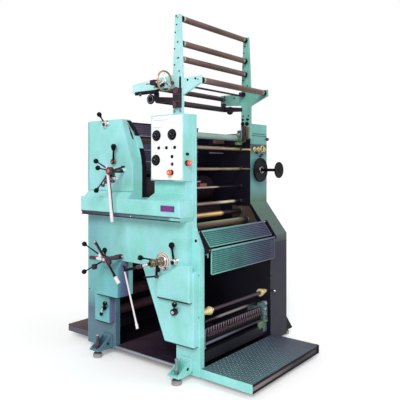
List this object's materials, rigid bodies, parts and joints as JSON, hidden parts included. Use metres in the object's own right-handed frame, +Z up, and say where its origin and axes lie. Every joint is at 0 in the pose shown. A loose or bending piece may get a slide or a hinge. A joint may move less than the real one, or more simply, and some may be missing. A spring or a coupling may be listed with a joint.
{
  "type": "offset printing press",
  "caption": "Web-fed offset printing press unit with side frames, cylinders, hand levers, finger guards, ink fountain, footboards and a web lead stand on top.",
  "frame": {"origin": "centre of the press's footprint box, on the floor", "axes": "+Z up, -Y towards the front footboard, -X towards the operator side"},
  "size_m": [1.666, 2.005, 2.669],
  "materials": {
    "teal_paint": "smooth gloss machine enamel",
    "grey_trim": "satin enamel",
    "white_face": "satin enamel",
    "black_plastic": "moulded",
    "red_button": "moulded",
    "purple_plate": "bare enamelled plate",
    "bright_steel": "ground",
    "roller_brown": "anodised tube",
    "black_iron": "black enamel",
    "chrome_fittings": "polished",
    "brass_fittings": "turned",
    "tread_plate": "dark raised tread",
    "floorboard": "dark worn board",
    "guard_mesh": "perforated sheet",
    "screen_mesh": "perforated sheet",
    "press_rubber": "ground rubber"
  },
  "bodies": {
    "press": {"operator_side_frame": "teal_paint", "drive_side_housing": "teal_paint", "cross_ties": "teal_paint", "control_box": "teal_paint", "shelf_cover": "teal_paint", "rear_tower_cover": "teal_paint", "operator_panel": "teal_paint", "front_leg_upper_cover": "teal_paint", "front_leg_lower_cover": "teal_paint", "rear_leg_upper_cover": "teal_paint", "rear_leg_lower_cover": "teal_paint", "near_web_post": "teal_paint", "far_web_post": "teal_paint", "levelling_feet": "teal_paint", "rear_platform": "teal_paint", "shelf_trim": "grey_trim", "control_face": "white_face", "panel_instruments": "black_plastic", "emergency_stops": "red_button", "nameplate": "purple_plate", "fixed_bars": "bright_steel", "web_post_fittings": "black_iron", "guard_hinge_brackets": "black_iron", "fountain_end_brackets": "black_iron", "ink_fountain": "black_iron", "hub_flange": "chrome_fittings", "front_footboard": "tread_plate", "middle_floorboard": "floorboard", "middle_screen": "screen_mesh", "rear_screen": "screen_mesh"},
    "plate_cylinder": {"plate_cylinder": "bright_steel"},
    "blanket_cylinder": {"blanket_cylinder": "bright_steel"},
    "impression_cylinder": {"impression_cylinder": "bright_steel"},
    "upper_guide_roller": {"upper_guide_roller": "bright_steel"},
    "middle_guide_roller": {"middle_guide_roller": "bright_steel"},
    "lower_guide_roller": {"lower_guide_roller": "bright_steel"},
    "cone_roller": {"cone_roller": "brass_fittings"},
    "delivery_roller_upper": {"delivery_roller_upper": "press_rubber"},
    "delivery_roller_lower": {"delivery_roller_lower": "press_rubber"},
    "web_lead_roller": {"web_lead_roller": "black_iron"},
    "compensator_roller": {"compensator_roller": "black_iron"},
    "web_idler_1": {"web_idler_1": "roller_brown"},
    "web_idler_2": {"web_idler_2": "roller_brown"},
    "web_idler_3": {"web_idler_3": "roller_brown"},
    "web_idler_4": {"web_idler_4": "roller_brown"},
    "web_handwheel": {"web_handwheel": "chrome_fittings"},
    "drive_handwheel": {"drive_handwheel": "black_iron"},
    "front_guard_upper": {"front_guard_upper": "guard_mesh"},
    "front_guard_lower": {"front_guard_lower": "guard_mesh"},
    "tower_top_lever": {"tower_top_lever": "chrome_fittings"},
    "tower_middle_lever": {"tower_middle_lever": "chrome_fittings"},
    "tower_bar_lever": {"tower_bar_lever": "chrome_fittings"},
    "lower_bar_lever": {"lower_bar_lever": "chrome_fittings"},
    "ratchet_lever": {"ratchet_lever": "chrome_fittings"},
    "side_lever": {"side_lever": "chrome_fittings"},
    "low_lever": {"low_lever": "chrome_fittings"},
    "rear_leg_lever": {"rear_leg_lever": "chrome_fittings"}
  },
  "joints": [
    {"name": "plate_cylinder_spin", "type": "hinge", "parent": "press", "child": "plate_cylinder", "pos_m": [0, 0.15, 1.34], "axis": [1, 0, 0], "continuous": true},
    {"name": "blanket_cylinder_spin", "type": "hinge", "parent": "press", "child": "blanket_cylinder", "pos_m": [0, 0.06, 1.11], "axis": [1, 0, 0], "continuous": true},
    {"name": "impression_cylinder_spin", "type": "hinge", "parent": "press", "child": "impression_cylinder", "pos_m": [0, -0.096, 0.917], "axis": [1, 0, 0], "continuous": true},
    {"name": "upper_guide_roller_spin", "type": "hinge", "parent": "press", "child": "upper_guide_roller", "pos_m": [0, -0.262, 1.242], "axis": [1, 0, 0], "continuous": true},
    {"name": "middle_guide_roller_spin", "type": "hinge", "parent": "press", "child": "middle_guide_roller", "pos_m": [0, -0.262, 1.152], "axis": [1, 0, 0], "continuous": true},
    {"name": "lower_guide_roller_spin", "type": "hinge", "parent": "press", "child": "lower_guide_roller", "pos_m": [0, -0.33, 1.079], "axis": [1, 0, 0], "continuous": true},
    {"name": "cone_roller_spin", "type": "hinge", "parent": "press", "child": "cone_roller", "pos_m": [0, -0.53, 0.48], "axis": [1, 0, 0], "continuous": true},
    {"name": "delivery_roller_upper_spin", "type": "hinge", "parent": "press", "child": "delivery_roller_upper", "pos_m": [0, 0.45, 0.47], "axis": [1, 0, 0], "continuous": true},
    {"name": "delivery_roller_lower_spin", "type": "hinge", "parent": "press", "child": "delivery_roller_lower", "pos_m": [0, 0.43, 0.33], "axis": [1, 0, 0], "continuous": true},
    {"name": "web_lead_roller_spin", "type": "hinge", "parent": "press", "child": "web_lead_roller", "pos_m": [0, -0.122, 2.148], "axis": [1, 0, 0], "continuous": true},
    {"name": "compensator_roller_spin", "type": "hinge", "parent": "press", "child": "compensator_roller", "pos_m": [0, -0.122, 2.056], "axis": [1, 0, 0], "continuous": true},
    {"name": "web_idler_1_spin", "type": "hinge", "parent": "press", "child": "web_idler_1", "pos_m": [0, -0.358, 2.645], "axis": [1, 0, 0], "continuous": true},
    {"name": "web_idler_2_spin", "type": "hinge", "parent": "press", "child": "web_idler_2", "pos_m": [0, -0.358, 2.462], "axis": [1, 0, 0], "continuous": true},
    {"name": "web_idler_3_spin", "type": "hinge", "parent": "press", "child": "web_idler_3", "pos_m": [0, -0.358, 2.346], "axis": [1, 0, 0], "continuous": true},
    {"name": "web_idler_4_spin", "type": "hinge", "parent": "press", "child": "web_idler_4", "pos_m": [0, -0.55, 2.169], "axis": [1, 0, 0], "continuous": true},
    {"name": "web_handwheel_spin", "type": "hinge", "parent": "press", "child": "web_handwheel", "pos_m": [-0.655, -0.312, 2.168], "axis": [0, -1, 0], "continuous": true},
    {"name": "drive_handwheel_spin", "type": "hinge", "parent": "press", "child": "drive_handwheel", "pos_m": [0.51, -0.362, 1.515], "axis": [0, -1, 0], "continuous": true},
    {"name": "front_guard_upper_hinge", "type": "hinge", "parent": "press", "child": "front_guard_upper", "pos_m": [0, -0.524, 1.072], "axis": [-1, 0, 0], "range_deg": [0, 100]},
    {"name": "front_guard_lower_hinge", "type": "hinge", "parent": "press", "child": "front_guard_lower", "pos_m": [0, -0.617, 0.946], "axis": [-1, 0, 0], "range_deg": [0, 80]},
    {"name": "tower_top_lever_turn", "type": "hinge", "parent": "press", "child": "tower_top_lever", "pos_m": [-0.625, 0.311, 1.886], "axis": [1, 0, 0], "range_deg": [-35, 35]},
    {"name": "tower_middle_lever_turn", "type": "hinge", "parent": "press", "child": "tower_middle_lever", "pos_m": [-0.625, 0.209, 1.584], "axis": [1, 0, 0], "range_deg": [-40, 40]},
    {"name": "tower_bar_lever_turn", "type": "hinge", "parent": "press", "child": "tower_bar_lever", "pos_m": [-0.625, 0.104, 1.513], "axis": [1, 0, 0], "range_deg": [-25, 25]},
    {"name": "lower_bar_lever_turn", "type": "hinge", "parent": "press", "child": "lower_bar_lever", "pos_m": [-0.625, 0.16, 0.838], "axis": [1, 0, 0], "range_deg": [-25, 25]},
    {"name": "ratchet_lever_turn", "type": "hinge", "parent": "press", "child": "ratchet_lever", "pos_m": [-0.625, -0.274, 0.849], "axis": [1, 0, 0], "range_deg": [-15, 15]},
    {"name": "side_lever_turn", "type": "hinge", "parent": "press", "child": "side_lever", "pos_m": [-0.625, -0.394, 0.861], "axis": [1, 0, 0], "range_deg": [-40, 40]},
    {"name": "low_lever_turn", "type": "hinge", "parent": "press", "child": "low_lever", "pos_m": [-0.625, -0.394, 0.498], "axis": [1, 0, 0], "range_deg": [-30, 30]},
    {"name": "rear_leg_lever_turn", "type": "hinge", "parent": "press", "child": "rear_leg_lever", "pos_m": [-0.625, 0.366, 0.394], "axis": [1, 0, 0], "range_deg": [-30, 30]}
  ],
  "couplings": [
    {"joint": "blanket_cylinder_spin", "follows": "plate_cylinder_spin", "ratio": -1},
    {"joint": "impression_cylinder_spin", "follows": "plate_cylinder_spin", "ratio": 1}
  ]
}
